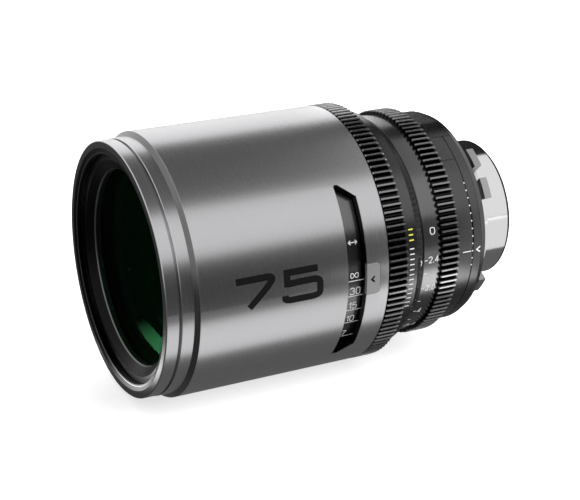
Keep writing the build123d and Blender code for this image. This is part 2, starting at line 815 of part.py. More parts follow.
def arcs_through(points):
    """Arcs along a list of points, each through three of them."""
    return [ThreePointArc(*points[first:first + 3]) for first in range(0, len(points) - 2, 2)]


def rotor_slot():
    """The outline of the spiral slot that moves the first blade's pin at a steady ratio."""
    half = lever_pin_radius + rotor_slot_gap
    small = iris_turn / (rotor_slot_steps * rotor_slot_steps)
    left, right = [], []
    for step in range(rotor_slot_steps + 1):
        angle = iris_turn * step / rotor_slot_steps
        place = lever_pin_place(angle)
        before = lever_pin_place(angle - small)
        after = lever_pin_place(angle + small)
        along = (after[0] - before[0], after[1] - before[1])
        size = hypot(*along)
        side = (-along[1] / size * half, along[0] / size * half)
        left.append((place[0] + side[0], place[1] + side[1]))
        right.append((place[0] - side[0], place[1] - side[1]))
    ends = [Line(left[-1], right[-1]), Line(right[0], left[0])]
    slot = make_face(arcs_through(left) + arcs_through(right) + ends)
    for angle in (0, iris_turn):
        slot += Pos(*lever_pin_place(angle)) * Circle(half)
    return slot


def iris_rotor():
    """Disc with one spiral slot for each blade, turned by the iris ring through its key."""
    body = tube(iris_open_radius + running_gap, iris_bore - running_gap, rotor_front, rotor_rear)
    cutter = flat_piece(rotor_slot(), rotor_front - overrun, rotor_rear + overrun)
    for number in range(blade_count):
        body -= Rot(0, -number * blade_step, 0) * cutter
    return body - radial_pin(
        key_angle, key_y, iris_bore - key_bite - face_gap, iris_bore + overrun, key_radius + running_gap)


def iris_cover():
    """Ring that keeps the rotor in its bore."""
    return tube(iris_open_radius + seat_gap, iris_bore - seat_gap, iris_cover_front, iris_cover_rear)


def iris_drive_key():
    """Round key from the rotor, through the body's slot, into the iris scale ring."""
    return radial_pin(key_angle, key_y, iris_bore - key_bite, iris_seat_radius + key_bite, key_radius)


def iris_scale_ring():
    """Black ring with the aperture numbers and a spigot that carries the iris gear."""
    bore = iris_seat_radius + running_gap
    body = turned(
        (bore, iris_scale_front), (iris_scale_radius - edge, iris_scale_front),
        (iris_scale_radius, iris_scale_front + edge), (iris_scale_radius, iris_gear_front),
        (iris_spigot_radius, iris_gear_front), (iris_spigot_radius, iris_gear_rear), (bore, iris_gear_rear),
    )
    return body - radial_pin(
        key_angle, key_y, bore - overrun, iris_seat_radius + key_bite + face_gap, key_radius + running_gap)


def iris_gear_ring():
    """Toothed ring that a follow-focus motor drives."""
    return gear_ring(iris_teeth, iris_spigot_radius + seat_gap, iris_gear_front, iris_gear_rear)


def focus_gear_ring():
    """Toothed ring on the focus scale ring."""
    return gear_ring(focus_teeth, scale_radius + seat_gap, focus_gear_front, focus_rear)


def focus_scale_ring():
    """Black ring that carries the distance numbers under the window and the gear behind it."""
    body = tube(scale_bore, scale_radius, scale_front, focus_rear)
    for number in range(roller_count):
        body -= radial_pin(
            number * roller_step, focus_rear - drive_screw_setback, scale_bore - overrun,
            scale_radius + overrun, drive_screw_radius + seat_gap)
    return body


def focus_cam_sleeve():
    """Sleeve on the fixed tube, with a helical slot for each roller."""
    body = tube(cam_bore, cam_radius, cam_front, focus_rear)
    for number in range(roller_count):
        start = roller_angle + number * roller_step
        body = cut_cam_slot(
            body, cam_bore - overrun, cam_radius + overrun, 2 * (roller_radius + running_gap),
            start, start - focus_turn, roller_y, roller_y - focus_travel)
        body -= radial_pin(
            number * roller_step, focus_rear - drive_screw_setback, cam_bore + cam_wall / 3,
            cam_radius + overrun, drive_screw_radius + seat_gap)
    middle = cam_bore + cam_wall / 2
    hole_end = cam_front + stop_pin_bite + face_gap
    return body - axial_pin(
        roller_angle, middle, cam_front - overrun, hole_end, stop_pin_radius + seat_gap)


def focus_drive_screws():
    """Three grub screws that join the scale ring and the cam sleeve."""
    return Compound([
        radial_pin(
            number * roller_step, focus_rear - drive_screw_setback, cam_bore + cam_wall / 3 + face_gap,
            scale_radius - face_gap, drive_screw_radius)
        for number in range(roller_count)])


def focus_stop_pin():
    """Pin that stops the focus ring at both ends of its turn."""
    middle = cam_bore + cam_wall / 2
    front = cam_front - ring_gap - stop_groove_depth + face_gap
    return axial_pin(roller_angle, middle, front, cam_front + stop_pin_bite, stop_pin_radius)


def focus_cell():
    """Sliding cell with two glasses and the holes of its three rollers."""
    bore = focus_glass_radius + seat_gap
    body = turned(
        (bore, focus_cell_front), (cell_radius, focus_cell_front), (cell_radius, focus_cell_rear),
        (bore, focus_cell_rear), (bore, focus_rear_seat), (bore - glass_lip, focus_rear_seat),
        (bore - glass_lip, focus_front_seat), (bore, focus_front_seat),
    )
    for number in range(roller_count):
        body -= radial_pin(
            roller_angle + number * roller_step, roller_y, cell_radius - roller_pin_bite - face_gap,
            cell_radius + overrun, roller_pin_radius + seat_gap)
    return body


def focus_element_front():
    """Front glass of the focus group, bulging forwards."""
    rear = focus_front_seat - face_gap
    front = rear - focus_glass_thickness
    return glass(focus_glass_radius, front, rear, focus_glass_bulge, -focus_glass_bulge, glass_flat)


def focus_element_rear():
    """Rear glass of the focus group, hollow in front."""
    front = focus_rear_seat + face_gap
    rear = front + focus_glass_thickness
    return glass(focus_glass_radius, front, rear, -focus_glass_bulge, focus_glass_bulge / 2, glass_flat)


def focus_retainers():
    """The two rings that hold the glass of the focus cell."""
    inner = focus_glass_radius - glass_lip
    return Compound([
        tube(inner, focus_glass_radius, focus_cell_front + face_gap, focus_cell_front + retainer_length),
        tube(inner, focus_glass_radius, focus_cell_rear - retainer_length, focus_cell_rear - face_gap),
    ])


def focus_rollers():
    """Three stepped rollers that run in the tube's straight slots and the sleeve's helical ones."""
    rollers = []
    for number in range(roller_count):
        angle = roller_angle + number * roller_step
        shoulder = tube_bore + face_gap
        pin = radial_pin(angle, roller_y, cell_radius - roller_pin_bite, shoulder, roller_pin_radius)
        rollers.append(pin + radial_pin(angle, roller_y, shoulder, cam_radius - face_gap, roller_radius))
    return Compound(rollers)


def back_focus_ring():
    """Back-focus ring: cam slots inside, a recess for the top cover and a witness line."""
    bore = rear_seat_radius + running_gap
    body = turned(
        (bore, back_ring_front), (rear_radius, back_ring_front), (rear_radius, back_ring_rear - edge / 2),
        (rear_radius - edge / 2, back_ring_rear), (bore, back_ring_rear),
    )
    body -= sector(
        recess_radius, rear_radius + overrun, back_ring_front - overrun, back_ring_rear + overrun,
        cover_start - cover_end_gap, cover_end + back_ring_turn + cover_end_gap)
    depth = rear_seat_radius + rear_cam_depth()
    for number in range(roller_count):
        start = roller_angle + number * roller_step
        body = cut_cam_slot(
            body, bore - overrun, depth, 2 * (rear_roller_radius + running_gap),
            start, start + back_ring_turn, rear_roller_y, rear_roller_y + back_travel)
    line = Rectangle(2 * back_ring_length, back_line_width)
    floor = rear_radius - back_line_depth
    return body - extrude(
        facing_out(back_line_angle, floor, back_ring_front) * line, amount=back_line_depth + overrun)


def rear_cam_depth():
    """How deep the back-focus ring's slots are, measured from the rear body."""
    return (recess_radius - rear_seat_radius) * rear_cam_share


def top_cover():
    """Curved plate over the back-focus ring and the rear ring, with a flat top."""
    front = back_ring_front + face_gap
    rear = lip_front - rear_line_width
    body = sector(cover_bore, cover_radius, front, rear, cover_start, cover_end)
    lid = Pos(0, (front + rear) / 2, cover_flat_height) * Box(
        2 * cover_radius, 2 * (rear - front), cover_radius, align=(Align.CENTER, Align.CENTER, Align.MIN))
    return body - lid


def rear_ring():
    """Fixed black ring with a dark line near its rear edge, a tapered lip and a seat for the cover."""
    bore = rear_seat_radius + seat_gap
    floor = rear_radius - rear_line_depth
    body = turned(
        (bore, rear_ring_front), (rear_radius - edge / 2, rear_ring_front),
        (rear_radius, rear_ring_front + edge / 2), (rear_radius, lip_front - rear_line_width),
        (floor, lip_front - rear_line_width), (floor, lip_front), (rear_radius - edge / 2, lip_front),
        (rear_lip_radius, base_front), (bore, base_front),
    )
    return body - sector(
        cover_bore - seat_gap, rear_radius + overrun, rear_ring_front - overrun, lip_front - rear_line_width,
        cover_start - cover_end_gap, cover_end + cover_end_gap)


def mount_base():
    """Black disc that closes the rear body and carries the mount."""
    bore = rear_cell_radius + seat_gap + mount_edge
    spigot_front = base_front - base_spigot
    body = turned(
        (bore, spigot_front), (rear_bore - seat_gap, spigot_front), (rear_bore - seat_gap, base_front),
        (base_radius, base_front), (base_radius, base_rear - edge), (base_radius - edge, base_rear),
        (bore, base_rear),
    )
    for number in range(screw_count):
        body -= axial_pin(
            number * 360 / screw_count, screw_circle, base_front - screw_bite - face_gap, base_rear + overrun,
            screw_radius + seat_gap)
    return body


def mount_shim():
    """Thin ring that sets the distance from the seat to the picture plane."""
    body = tube(rear_cell_radius + seat_gap + mount_edge, neck_radius, base_rear, shim_rear)
    for number in range(screw_count):
        body -= axial_pin(
            number * 360 / screw_count, screw_circle, base_rear - overrun, shim_rear + overrun,
            screw_radius + face_gap)
    return body


def lens_mount():
    """Polished mount: a barrel, a neck with the screws and four notched tabs on the seat."""
    body = turned(
        (mount_bore, shim_rear), (neck_radius, shim_rear), (neck_radius, 0), (mount_radius, 0),
        (mount_radius, mount_length - mount_edge), (mount_radius - mount_edge, mount_length),
        (mount_bore + mount_edge / 2, mount_length), (mount_bore, mount_length - mount_edge / 2),
    )
    for number in range(tab_count):
        middle = tab_angle + number * 360 / tab_count
        tab = sector(
            neck_radius - overrun, tab_radius, tab_front, 0, middle - tab_width_angle / 2,
            middle + tab_width_angle / 2)
        notch = facing_out(middle, tab_radius - notch_depth, tab_front / 2) * Box(
            2 * tab_thickness, notch_width, notch_depth + overrun,
            align=(Align.CENTER, Align.CENTER, Align.MIN))
        body += tab - notch
    for number in range(screw_count):
        angle = number * 360 / screw_count
        floor = -(screw_sink + screw_head_height + face_gap)
        body -= axial_pin(angle, screw_circle, floor, overrun, screw_head_radius + seat_gap)
        body -= axial_pin(angle, screw_circle, shim_rear - overrun, floor + overrun, screw_radius + seat_gap)
    return body


def mount_screws():
    """Six cap screws, sunk under the seat, that hold the mount and the shim on the base."""
    tip = base_front - screw_bite
    return Compound([
        cap_screw(number * 360 / screw_count, screw_circle, -screw_sink, tip, screw_head_radius)
        for number in range(screw_count)])


def rear_cell():
    """Sliding cell in the mount's bore, with a flange that its rollers are set in."""
    bore = rear_cell_radius - rear_cell_wall
    first_seat = rear_cell_front + retainer_length + rear_doublet_thickness + 2 * face_gap
    second_seat = rear_cell_rear - rear_recess - rear_element_thickness - face_gap
    flange_rear = rear_flange_front + rear_flange_thickness
    flange = rear_bore - running_gap
    body = turned(
        (bore, rear_cell_front), (rear_cell_radius, rear_cell_front), (rear_cell_radius, rear_flange_front),
        (flange, rear_flange_front), (flange, flange_rear), (rear_cell_radius, flange_rear),
        (rear_cell_radius, rear_cell_rear), (bore + rear_cell_wall / 2, rear_cell_rear),
        (bore, rear_cell_rear - rear_recess / 2), (bore, second_seat), (bore - glass_lip, second_seat),
        (bore - glass_lip, first_seat), (bore, first_seat),
    )
    for number in range(roller_count):
        body -= radial_pin(
            roller_angle + number * roller_step, rear_roller_y, rear_roller_inner() - face_gap,
            rear_bore + overrun, rear_roller_radius + seat_gap)
    return body


def rear_roller_inner():
    """The radius at which the rear rollers start, inside the flange."""
    return rear_seat_radius + rear_cam_depth() - face_gap - rear_roller_length


def rear_doublet():
    """Glass behind the iris, at the front of the rear cell."""
    front = rear_cell_front + retainer_length + face_gap
    radius = rear_cell_radius - rear_cell_wall - seat_gap
    return glass(
        radius, front, front + rear_doublet_thickness, rear_glass_bulge, rear_glass_bulge, glass_flat)


def rear_element():
    """Last glass, near the end of the mount."""
    rear = rear_cell_rear - rear_recess
    radius = rear_cell_radius - rear_cell_wall - seat_gap
    front = rear - rear_element_thickness
    return glass(radius, front, rear, -rear_glass_bulge, rear_glass_bulge, glass_flat)


def rear_retainers():
    """The two rings that hold the glass of the rear cell."""
    outer = rear_cell_radius - rear_cell_wall - seat_gap
    last = rear_cell_rear - rear_recess
    return Compound([
        tube(outer - glass_lip, outer, rear_cell_front + face_gap, rear_cell_front + retainer_length),
        tube(outer - glass_lip, outer, last + face_gap, last + retainer_length),
    ])


def rear_rollers():
    """Three pins from the rear cell's flange, through the body's slots, into the back-focus ring."""
    outer = rear_seat_radius + rear_cam_depth() - face_gap
    return Compound([
        radial_pin(
            roller_angle + number * roller_step, rear_roller_y, rear_roller_inner(), outer,
            rear_roller_radius)
        for number in range(roller_count)])


pieces = (
    front_ring, front_bezel, front_barrel, index_plate, barrel_screws, front_retainer, front_element,
    front_cell, cylinder_element_front, cylinder_spacer, cylinder_element_rear, cylinder_retainer,
    main_tube, focus_stop_ring, rear_collar, prime_cell, prime_element_front, prime_element_rear,
    prime_retainers, rear_body, iris_base, iris_cover, top_cover, rear_ring, mount_base, mount_shim,
    lens_mount, mount_screws, focus_gear_ring, focus_scale_ring, focus_cam_sleeve, focus_drive_screws,
    focus_stop_pin, focus_cell, focus_element_front, focus_element_rear, focus_retainers, focus_rollers,
    iris_scale_ring, iris_gear_ring, iris_drive_key, iris_rotor, back_focus_ring, rear_cell,
    rear_doublet, rear_element, rear_retainers, rear_rollers,
)

os.makedirs("parts", exist_ok=True)
for piece in pieces:
    export_step(piece(), f"parts/{piece.__name__}.step")
for blade_number in range(blade_count):
    export_step(iris_blade(blade_number), f"parts/iris_blade_{blade_number + 1:02d}.step")
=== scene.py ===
from math import radians

import bpy
import numpy as np
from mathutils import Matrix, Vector


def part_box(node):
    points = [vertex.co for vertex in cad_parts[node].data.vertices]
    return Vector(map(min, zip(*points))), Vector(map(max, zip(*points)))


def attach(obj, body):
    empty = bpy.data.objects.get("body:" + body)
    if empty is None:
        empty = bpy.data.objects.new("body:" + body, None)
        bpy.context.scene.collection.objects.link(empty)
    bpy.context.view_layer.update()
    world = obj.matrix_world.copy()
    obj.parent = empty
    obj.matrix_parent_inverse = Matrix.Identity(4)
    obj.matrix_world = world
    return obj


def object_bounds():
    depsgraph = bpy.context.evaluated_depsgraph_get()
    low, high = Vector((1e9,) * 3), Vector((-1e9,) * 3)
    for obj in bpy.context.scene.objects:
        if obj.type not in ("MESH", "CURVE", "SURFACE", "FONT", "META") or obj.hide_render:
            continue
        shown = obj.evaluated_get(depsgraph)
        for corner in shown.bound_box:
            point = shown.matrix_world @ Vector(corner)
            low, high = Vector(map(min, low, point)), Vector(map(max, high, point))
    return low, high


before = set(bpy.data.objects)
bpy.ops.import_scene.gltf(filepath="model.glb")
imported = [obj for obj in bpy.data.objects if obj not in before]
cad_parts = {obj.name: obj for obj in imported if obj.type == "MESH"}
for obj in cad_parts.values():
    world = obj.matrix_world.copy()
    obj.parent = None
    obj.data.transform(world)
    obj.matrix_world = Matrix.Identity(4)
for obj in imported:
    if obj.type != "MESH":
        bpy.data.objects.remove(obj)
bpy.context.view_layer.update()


# Fixed tube and rear body. The real ones are bored aluminium tubes that carry everything else.
# They are painted a flat sooty black inside against stray light, a little uneven where the spray
# lies thicker.
mm = 0.001


class Wire:
    """One output socket of a material's nodes. Arithmetic on it adds Math nodes."""

    def __init__(self, tree, socket=None):
        self.tree = tree
        self.socket = socket

    def node(self, kind, settings, sockets, output=0):
        """Adds a node of any type: first its settings, then the values or wires of its sockets."""
        node = self.tree.nodes.new(kind)
        for name, value in settings.items():
            setattr(node, name, value)
        for name, value in sockets.items():
            if isinstance(value, Wire):
                self.tree.links.new(value.socket, node.inputs[name])
            else:
                node.inputs[name].default_value = value
        return Wire(self.tree, node.outputs[output] if len(node.outputs) else None)

    def maths(self, operation, *values):
        return self.node("ShaderNodeMath", {"operation": operation}, dict(enumerate(values)))

    def __add__(self, other):
        return self.maths("ADD", self, other)

    def __rsub__(self, other):
        return self.maths("SUBTRACT", other, self)

    def __mul__(self, other):
        return self.maths("MULTIPLY", self, other)

    def __pow__(self, other):
        return self.maths("POWER", self, other)

    __radd__ = __add__
    __rmul__ = __mul__

    def step(self, low, high):
        """Rises smoothly from 0 to 1 between two values."""
        return self.node(
            "ShaderNodeMapRange", {"interpolation_type": "SMOOTHSTEP"},
            {"Value": self, "From Min": low, "From Max": high})

    def blend(self, first, second):
        """The first colour where this is 0 and the second where it is 1."""
        return self.node(
            "ShaderNodeMix", {"data_type": "RGBA"}, {0: self, 6: first, 7: second}, output=2)


def new_material(name, shader):
    """A material whose surface is the shader that shader(wire) gives."""
    material = bpy.data.materials.new(name)
    material.use_nodes = True
    material.node_tree.nodes.clear()
    start = Wire(material.node_tree)
    start.node("ShaderNodeOutputMaterial", {}, {"Surface": shader(start)})
    return material


def finish(name, surface, **constants):
    """A material whose one shader has constant sockets, and the wires that surface(wire) gives."""
    def shader(wire):
        sockets = {
            key.replace("_", " ").title().replace("Ior", "IOR"): value
            for key, value in constants.items()}
        sockets.update(surface(wire))
        return wire.node("ShaderNodeBsdfPrincipled", {}, sockets)
    return new_material(name, shader)


def turned_place(wire):
    """Distance along the optical axis, distance from it and angle round it, in metres and radians."""
    place = wire.node("ShaderNodeTexCoord", {}, {}, "Object")
    x, y, z = (wire.node("ShaderNodeSeparateXYZ", {}, {0: place}, axis) for axis in "XYZ")
    return y, (x * x + z * z) ** 0.5, z.maths("ARCTAN2", z, x)


def grain(wire, size):
    """Even random grain, from 0 to 1, with grains of about this size in metres."""
    place = wire.node("ShaderNodeTexCoord", {}, {}, "Object")
    return wire.node("ShaderNodeTexNoise", {}, {
        "Vector": place, "Scale": 1 / size, "Detail": 2.0, "Roughness": 0.6})


def turning_marks(wire, pitch):
    """Fine rings such as a lathe tool leaves: noise that changes fast along and away from the axis,
    and hardly at all round it."""
    y, radius, angle = turned_place(wire)
    ring = wire.node("ShaderNodeCombineXYZ", {}, {
        0: y * (1 / pitch), 1: radius * (1 / pitch), 2: angle * 2})
    return wire.node("ShaderNodeTexNoise", {}, {
        "Vector": ring, "Scale": 1.0, "Detail": 3.0, "Roughness": 0.7})


def bump(wire, height, depth, strength=1.0):
    return wire.node("ShaderNodeBump", {}, {
        "Height": height, "Distance": depth, "Strength": strength})


def grey(value):
    return (value, value, value, 1.0)


def stray_light_paint(wire):
    speckle = grain(wire, 0.4 * mm)
    patches = grain(wire, 9 * mm)
    return {
        "Base Color": patches.blend(grey(0.004), grey(0.009)),
        "Roughness": 0.72 + 0.2 * speckle,
        "Normal": bump(wire, speckle, 0.03 * mm),
    }


def dress(material, *nodes):
    for node in nodes:
        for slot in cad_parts[node].material_slots:
            slot.material = material


flat_black = finish("flat_black_paint", stray_light_paint)
dress(flat_black, "main_tube", "rear_body")


# Glass cells with their spacers and retaining rings. Each is a turned aluminium ring, anodised and
# then blackened on its inner edges, which shows as a slight sheen on the screwed rings.
def blackened_ring(wire):
    tool_marks = turning_marks(wire, 0.25 * mm)
    return {
        "Base Color": tool_marks.blend(grey(0.006), grey(0.014)),
        "Roughness": 0.5 + 0.2 * tool_marks,
        "Normal": bump(wire, tool_marks, 0.02 * mm),
    }


cell_black = finish("cell_black", blackened_ring, metallic=0.2)
dress(flat_black, "front_cell", "prime_cell", "focus_cell", "rear_cell")
dress(
    cell_black, "cylinder_spacer", "cylinder_retainer", "prime_retainers", "focus_retainers",
    "rear_retainers")


# Glasses. They are ground and polished, and each edge is inked black. The thin coating takes nearly
# all the reflections away. What is left is faint and neutral inside, and green on the two outer
# glasses.
def polished_glass(light, dark):
    def surface(wire):
        return {"Base Color": grain(wire, 30 * mm).blend(dark, light)}
    return surface


def coated_glass(name, mirror_share):
    """Clear glass of which a small share is a green mirror, as a thin coating looks."""
    smoky = polished_glass((0.30, 0.32, 0.30, 1), (0.27, 0.29, 0.27, 1))
    green = polished_glass((0.07, 0.95, 0.28, 1), (0.05, 0.84, 0.22, 1))

    def shader(wire):
        clear = wire.node("ShaderNodeBsdfPrincipled", {}, {
            "Transmission Weight": 1.0, "IOR": 1.0, "Roughness": 0.0, "Specular IOR Level": 0.0,
            **smoky(wire)})
        mirror = wire.node("ShaderNodeBsdfPrincipled", {}, {
            "Metallic": 1.0, "Roughness": 0.0, **green(wire)})
        return wire.node("ShaderNodeMixShader", {}, {0: mirror_share, 1: clear, 2: mirror})
    return new_material(name, shader)


clear_glass = finish(
    "clear_glass", polished_glass((0.80, 0.82, 0.80, 1), (0.74, 0.76, 0.74, 1)),
    transmission_weight=1.0, ior=1.0, roughness=0.0, specular_ior_level=0.0)
outer_glass = coated_glass("coated_glass", mirror_share=0.022)
dress(
    clear_glass, "prime_element_front", "prime_element_rear", "focus_element_front",
    "focus_element_rear", "cylinder_element_front", "cylinder_element_rear", "rear_doublet")
dress(outer_glass, "front_element", "rear_element")


# Iris. Twelve thin blades of blackened spring steel lie between a base plate and a slotted rotor,
# and a cover holds the stack together.
def blued_blade(wire):
    streak = turning_marks(wire, 0.5 * mm)
    worn = grain(wire, 2 * mm)
    return {
        "Base Color": worn.blend(grey(0.02), grey(0.045)),
        "Roughness": 0.35 + 0.2 * streak,
        "Normal": bump(wire, streak, 0.01 * mm),
    }


blade_steel = finish("blade_steel", blued_blade, metallic=0.8)
blades = sorted(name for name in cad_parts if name.startswith("iris_blade_"))
dress(blade_steel, *blades)
dress(cell_black, "iris_base", "iris_rotor", "iris_cover")


# Small steel pieces: the iris key, the stop pin, the drive screws, the cap screws and the mount's
# shim. They are turned from bar and left plain, apart from the blackened drive screws.
def turned_metal(light, dark):
    def surface(wire):
        tool_marks = turning_marks(wire, 0.15 * mm)
        stain = grain(wire, 3 * mm)
        return {
            "Base Color": stain.blend(dark, light),
            "Roughness": 0.28 + 0.15 * tool_marks,
            "Normal": bump(wire, tool_marks, 0.01 * mm),
        }
    return surface


plain_steel = finish("plain_steel", turned_metal(grey(0.55), grey(0.42)), metallic=1.0)
black_steel = finish("black_steel", turned_metal(grey(0.06), grey(0.035)), metallic=1.0)
dress(plain_steel, "iris_drive_key", "focus_stop_pin", "barrel_screws", "mount_screws", "mount_shim")
dress(black_steel, "focus_drive_screws")


# Brass and bronze pieces that rub: the stop ring, the rollers and the focus sleeve with its spiral
# slots. They are turned and milled from bar. The bronze is a shade redder, and both have dulled.
brass = finish("brass", turned_metal((0.78, 0.58, 0.27, 1), (0.60, 0.42, 0.18, 1)), metallic=1.0)
bronze = finish("bronze", turned_metal((0.66, 0.45, 0.22, 1), (0.48, 0.31, 0.15, 1)), metallic=1.0)
dress(brass, "focus_stop_ring", "focus_rollers", "rear_rollers")
dress(bronze, "focus_cam_sleeve")


# Black anodised outer rings: the collar, the back-focus ring with its cover, the rear ring and the
# mount's base. Beads were blasted at them before the dye, so they have a fine even grain and broad
# soft highlights.
def blasted_anodising(wire):
    beads = grain(wire, 0.28 * mm)
    cloud = grain(wire, 14 * mm)
    return {
        "Base Color": cloud.blend(grey(0.085), grey(0.11)),
        "Roughness": 0.22 + 0.08 * beads,
        "Normal": bump(wire, beads, 0.006 * mm),
    }


black_anodised = finish("black_anodised", blasted_anodising, metallic=1.0)
dress(black_anodised, "rear_collar", "back_focus_ring", "top_cover", "rear_ring", "mount_base")


# Distance and aperture scale rings. They are turned aluminium, dyed black and finer grained than the
# outer rings, and their numbers are engraved and filled.
def scale_anodising(wire):
    beads = grain(wire, 0.2 * mm)
    tool_marks = turning_marks(wire, 0.3 * mm)
    return {
        "Base Color": tool_marks.blend(grey(0.14), grey(0.18)),
        "Roughness": 0.20 + 0.06 * beads,
        "Normal": bump(wire, beads, 0.002 * mm),
    }


scale_black = finish("scale_black", scale_anodising, metallic=1.0)
dress(scale_black, "focus_scale_ring", "iris_scale_ring")


# Marks of the two scale rings. Lines and numbers are cut with one even stroke, as a pantograph does,
# and filled with white enamel. They turn with their rings: metres in the window, and stops beside
# the iris teeth.

# Each sign has a width and strokes, as shares of its height: whether rounded, and the corner points.
glyphs = {
    "0": (1.0, [
        (True, [(0.5, 1), (0.8, 1), (1, 0.85), (1, 0.15), (0.8, 0), (0.2, 0), (0, 0.15), (0, 0.85),
                (0.2, 1), (0.5, 1)])]),
    "1": (0.5, [(False, [(0, 0.78), (0.5, 1), (0.5, 0)])]),
    "2": (1.0, [
        (True, [(0, 0.75), (0, 1), (1, 1), (1, 0.6), (0.8, 0.42), (0, 0)]),
        (False, [(0, 0), (1, 0)])]),
    "3": (1.0, [
        (True, [(0, 0.82), (0, 1), (0.95, 1), (0.95, 0.54), (0.4, 0.53)]),
        (True, [(0.4, 0.53), (1, 0.53), (1, 0), (0, 0), (0, 0.18)])]),
    "4": (1.0, [(False, [(0.75, 0), (0.75, 1), (0, 0.28), (1, 0.28)])]),
    "5": (1.0, [
        (False, [(0.95, 1), (0.06, 1), (0.06, 0.5)]),
        (True, [(0.06, 0.6), (0.5, 0.62), (1, 0.62), (1, 0.3), (1, 0), (0.5, 0), (0, 0), (0, 0.2)])]),
    "6": (1.0, [
        (True, [(0.9, 1), (0.3, 0.9), (0, 0.5), (0, 0), (1, 0), (1, 0.58), (0, 0.58), (0, 0.3)])]),
    "7": (1.0, [
        (False, [(0, 1), (0.7, 1)]),
        (True, [(0.7, 1), (1, 1), (1, 0.82), (0.35, 0)])]),
    "8": (1.0, [
        (True, [(0.5, 0.54), (0.06, 0.54), (0.06, 1), (0.94, 1), (0.94, 0.54), (0.5, 0.54)]),
        (True, [(0.5, 0.54), (0, 0.54), (0, 0), (1, 0), (1, 0.54), (0.5, 0.54)])]),
    ".": (0.12, [(False, [(0.06, -0.04), (0.06, 0.1)])]),
    "infinity": (2.0, [
        (True, [(1, 0.5), (1.4, 0.85), (2, 0.85), (2, 0.15), (1.4, 0.15), (1, 0.5), (0.6, 0.85),
                (0, 0.85), (0, 0.15), (0.6, 0.15), (1, 0.5)])]),
    "span": (2.2, [
        (False, [(0, 0.5), (2.2, 0.5)]),
        (False, [(0.5, 0.2), (0, 0.5), (0.5, 0.8)]),
        (False, [(1.7, 0.2), (2.2, 0.5), (1.7, 0.8)])]),
    "opening": (1.3, [(True, [(0.65, 1), (1.3, 1), (1.3, 0), (0, 0), (0, 1), (0.65, 1)])]),
    "forwards": (0.6, [(False, [(0.6, 1), (0, 0.5), (0.6, 0)])]),
    "rearwards": (0.6, [(False, [(0, 1), (0.6, 0.5), (0, 0)])]),
}


def round_corners(points):
    """Corners cut three times over: every line keeps the points at 1/4 and 3/4 of its length, so that
    the stroke nears a quadratic spline."""
    for _ in range(3):
        start, end = points[:-1], points[1:]
        kept = np.stack([0.75 * start + 0.25 * end, 0.25 * start + 0.75 * end], axis=1).reshape(-1, 2)
        points = np.concatenate([points[:1], kept, points[-1:]])
    return points


def lettered(signs, y, angle, height, radius, spread=0.6, gap=0.48, lift=-0.5):
    """Strokes of a row of signs that starts y millimetres behind the front face, as points (y, arc
    length). The row's middle is at the angle in degrees, and lift moves its foot, as a share of the
    height."""
    strokes = []
    foot = radians(angle) * radius + lift * height
    for sign in signs:
        width, lines = glyphs[sign]
        for rounded, points in lines:
            points = np.array(points, float)
            points = round_corners(points) if rounded else points
            strokes.append(points * (spread * height, height) + (y, foot))
        y += (width + gap) * spread * height
    return strokes


def straight(front, rear, angle, radius):
    """One stroke along the axis."""
    return np.array([(front, radians(angle) * radius), (rear, radians(angle) * radius)])


longest_step = 0.7


def stroke_edges(points, width):
    """Left and right edge of a stroke of even width w about the points p, mitred at each: p +/- w n /
    |d|^2, where d is the sum of the unit steps before and after p, and n is d turned left by a right
    angle."""
    length = np.concatenate([[0], np.cumsum(np.linalg.norm(np.diff(points, axis=0), axis=1))])
    even = np.union1d(length, np.arange(0, length[-1], longest_step))
    line = np.stack([np.interp(even, length, points[:, axis]) for axis in (0, 1)], axis=1)
    way = np.diff(line, axis=0)
    way /= np.linalg.norm(way, axis=1, keepdims=True)
    both = np.concatenate([way[:1], way]) + np.concatenate([way, way[-1:]])
    side = width * np.stack([-both[:, 1], both[:, 0]], axis=1) / (both ** 2).sum(axis=1, keepdims=True)
    return line + side, line - side


def cut(strokes, width):
    """Both edges of each stroke, all cut with one even width in millimetres."""
    return [stroke_edges(stroke, width) for stroke in strokes]


def new_piece(name, places, faces, material):
    """An object at the origin whose mesh has these places and faces, in one material."""
    mesh = bpy.data.meshes.new(name)
    mesh.from_pydata(places.tolist(), [], faces.tolist())
    mesh.materials.append(material)
    piece = bpy.data.objects.new(name, mesh)
    bpy.context.scene.collection.objects.link(piece)
    return piece


front_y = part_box("front_ring")[0][1]
mark_lift = 0.02


def marks(name, edges, material, body, radius, slope=0.0, slope_start=0.0):
    """Flat enamel marks on a turned surface, a hair above it. A point (y, s) lies at the angle s / r
    and the distance r + lift - slope (y - start) from the axis."""
    places, faces, count = [], [], 0
    for left, right in edges:
        places.append(np.stack([left, right], axis=1).reshape(-1, 2))
        corner = count + 2 * np.arange(len(left) - 1)
        faces.append(np.stack([corner + 1, corner + 3, corner + 2, corner], axis=1))
        count += 2 * len(left)
    y, arc = np.concatenate(places).T
    away = radius + mark_lift - slope * (y - slope_start)
    turn = arc / radius
    points = mm * np.stack([away * np.cos(turn), y, away * np.sin(turn)], axis=1) + (0, front_y, 0)
    piece = new_piece(name, points, np.concatenate(faces), material)
    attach(piece, body)


def enamel(light, dark):
    def surface(wire):
        patches = grain(wire, 0.5 * mm)
        return {
            "Base Color": patches.blend(dark, light),
            "Roughness": 0.4 + 0.2 * patches,
            "Normal": bump(wire, patches, 0.01 * mm),
        }
    return surface


white_enamel = finish("white_enamel", enamel(grey(0.86), grey(0.7)))

